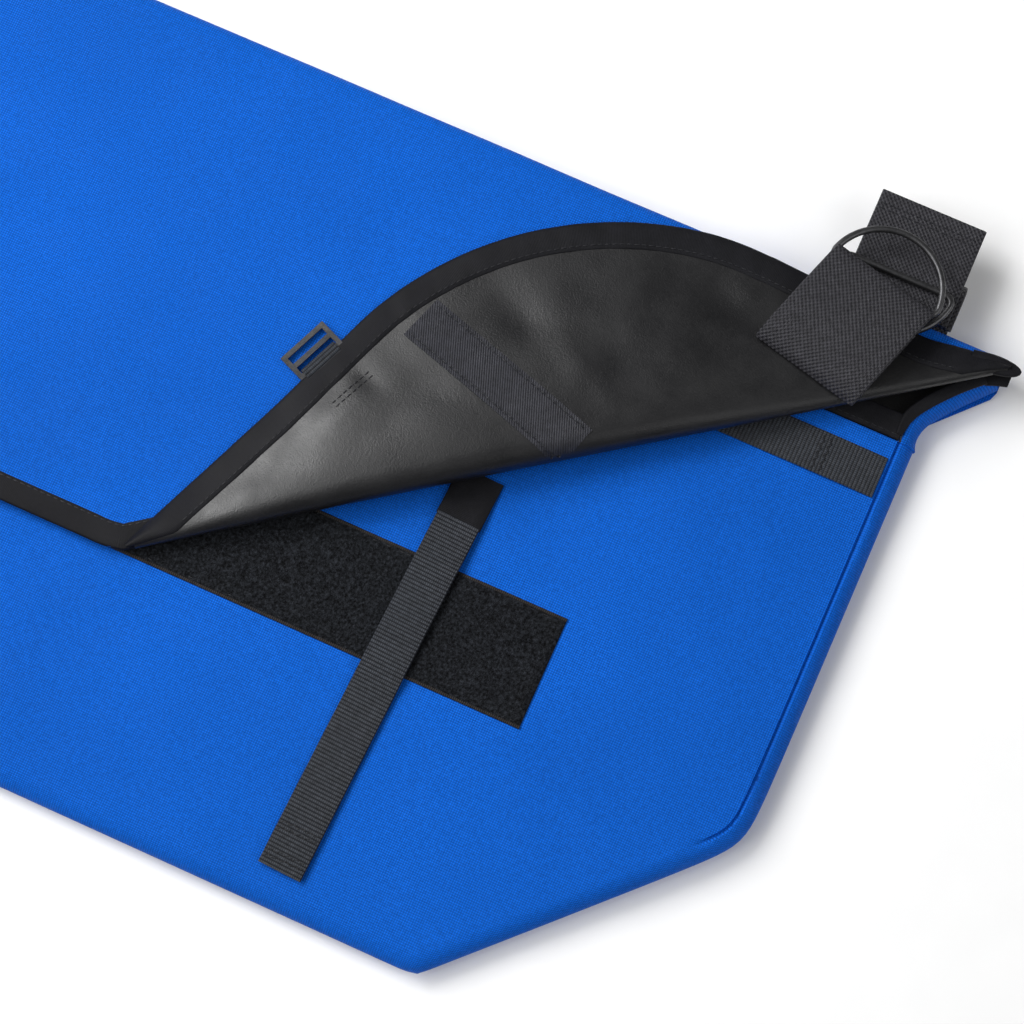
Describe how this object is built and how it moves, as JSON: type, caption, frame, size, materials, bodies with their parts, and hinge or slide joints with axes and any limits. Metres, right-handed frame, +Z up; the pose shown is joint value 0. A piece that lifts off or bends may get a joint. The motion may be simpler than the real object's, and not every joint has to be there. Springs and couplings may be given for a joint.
{
  "type": "messenger bag",
  "caption": "Soft woven-nylon messenger bag lying flat, with a lined flap whose corner is turned back, hook-and-loop and strap closures, and a ring-adjusted shoulder strap.",
  "frame": {"origin": "middle of the bag's width on the surface it lies on, 172 mm below the top fold", "axes": "+X to the bag's right as seen here, +Y from the bottom fold to the top fold, +Z up out of the surface"},
  "size_m": [0.608, 0.3905, 0.0378],
  "materials": {
    "blue_nylon": "plain-woven heavy nylon, low sheen",
    "black_vinyl": "fine-grained coated lining with a broad soft sheen",
    "edge_binding": "fine woven tape with one row of stitching",
    "black_webbing": "coarse ribbed webbing",
    "black_pile": "fuzzy hook and loop tape",
    "gunmetal": "dark plated wire and sheet, satin"
  },
  "bodies": {
    "bag": {"back_panel": "blue_nylon", "back_liner": "black_vinyl", "front_panel": "blue_nylon", "front_liner": "black_vinyl", "side_gusset_right": "blue_nylon", "side_gusset_left": "blue_nylon", "bottom_gusset": "blue_nylon", "mouth_binding": "edge_binding", "wing_binding_right": "edge_binding", "wing_binding_left": "edge_binding", "loop_strip": "black_pile", "side_tape_right": "black_webbing", "side_tape_left": "black_webbing", "closure_tab_right": "edge_binding", "closure_tab_left": "edge_binding", "closure_strap_left": "black_webbing", "top_fold": "blue_nylon", "shoulder_strap": "black_webbing", "strap_anchor_fold": "black_webbing"},
    "flap": {"flap_shell": "blue_nylon", "flap_liner": "black_vinyl", "flap_binding": "edge_binding", "hook_strip_left": "black_pile", "corner_roll": "blue_nylon"},
    "flap_corner": {"corner_shell": "blue_nylon", "corner_liner": "black_vinyl", "corner_binding": "edge_binding", "hook_strip_right": "black_pile"},
    "right_slider": {"slider_right": "gunmetal", "slider_tab_right": "black_webbing"},
    "left_slider": {"slider_left": "gunmetal", "slider_tab_left": "black_webbing"},
    "right_strap": {"closure_strap_right": "black_webbing"},
    "left_strap": {"closure_strap_left_end": "black_webbing"},
    "strap_end": {"strap_anchor": "black_webbing", "strap_tail": "black_webbing", "d_ring_inner": "gunmetal"},
    "keeper_loop": {"strap_loop": "black_webbing"},
    "outer_ring": {"d_ring_outer": "gunmetal"}
  },
  "joints": [
    {"name": "flap_hinge", "type": "hinge", "parent": "bag", "child": "flap", "pos_m": [0, 0.168, 0.01155], "axis": [-1, 0, 0], "range_deg": [0, 120], "deforming": ["top_fold"]},
    {"name": "corner_fold", "type": "hinge", "parent": "flap", "child": "flap_corner", "pos_m": [-0.01914, -0.05223, 0.0264], "axis": [-0.8124, -0.5832, 0], "range_deg": [-179, 0], "deforming": ["corner_roll"]},
    {"name": "strap_end_swing", "type": "hinge", "parent": "bag", "child": "strap_end", "pos_m": [0.248, 0.207, 0.018], "axis": [-1, 0, 0], "range_deg": [0, 120], "deforming": ["strap_anchor_fold"]},
    {"name": "keeper_loop_lift", "type": "hinge", "parent": "strap_end", "child": "keeper_loop", "pos_m": [0.2376, 0.1783, 0.0338], "axis": [-0.9885, 0.1513, 0], "range_deg": [0, 90]},
    {"name": "outer_ring_lift", "type": "hinge", "parent": "strap_end", "child": "outer_ring", "pos_m": [0.2376, 0.1783, 0.0338], "axis": [0.9885, -0.1513, 0], "range_deg": [0, 45]},
    {"name": "right_strap_lift", "type": "hinge", "parent": "bag", "child": "right_strap", "pos_m": [0.11, 0.014, 0.0188], "axis": [-1, 0, 0], "range_deg": [0, 90]},
    {"name": "left_strap_lift", "type": "hinge", "parent": "bag", "child": "left_strap", "pos_m": [-0.11, -0.076, 0.0188], "axis": [-1, 0, 0], "range_deg": [0, 120]},
    {"name": "right_slider_lift", "type": "hinge", "parent": "flap_corner", "child": "right_slider", "pos_m": [0.03065, 0.05195, 0.0232], "axis": [0.3831, 0.9237, 0], "range_deg": [0, 45]},
    {"name": "left_slider_lift", "type": "hinge", "parent": "flap", "child": "left_slider", "pos_m": [-0.107, -0.0594, 0.0207], "axis": [-1, 0, 0], "range_deg": [0, 45]}
  ],
  "couplings": [
    {"joint": "strap_end_swing", "follows": "flap_hinge", "ratio": 1}
  ]
}
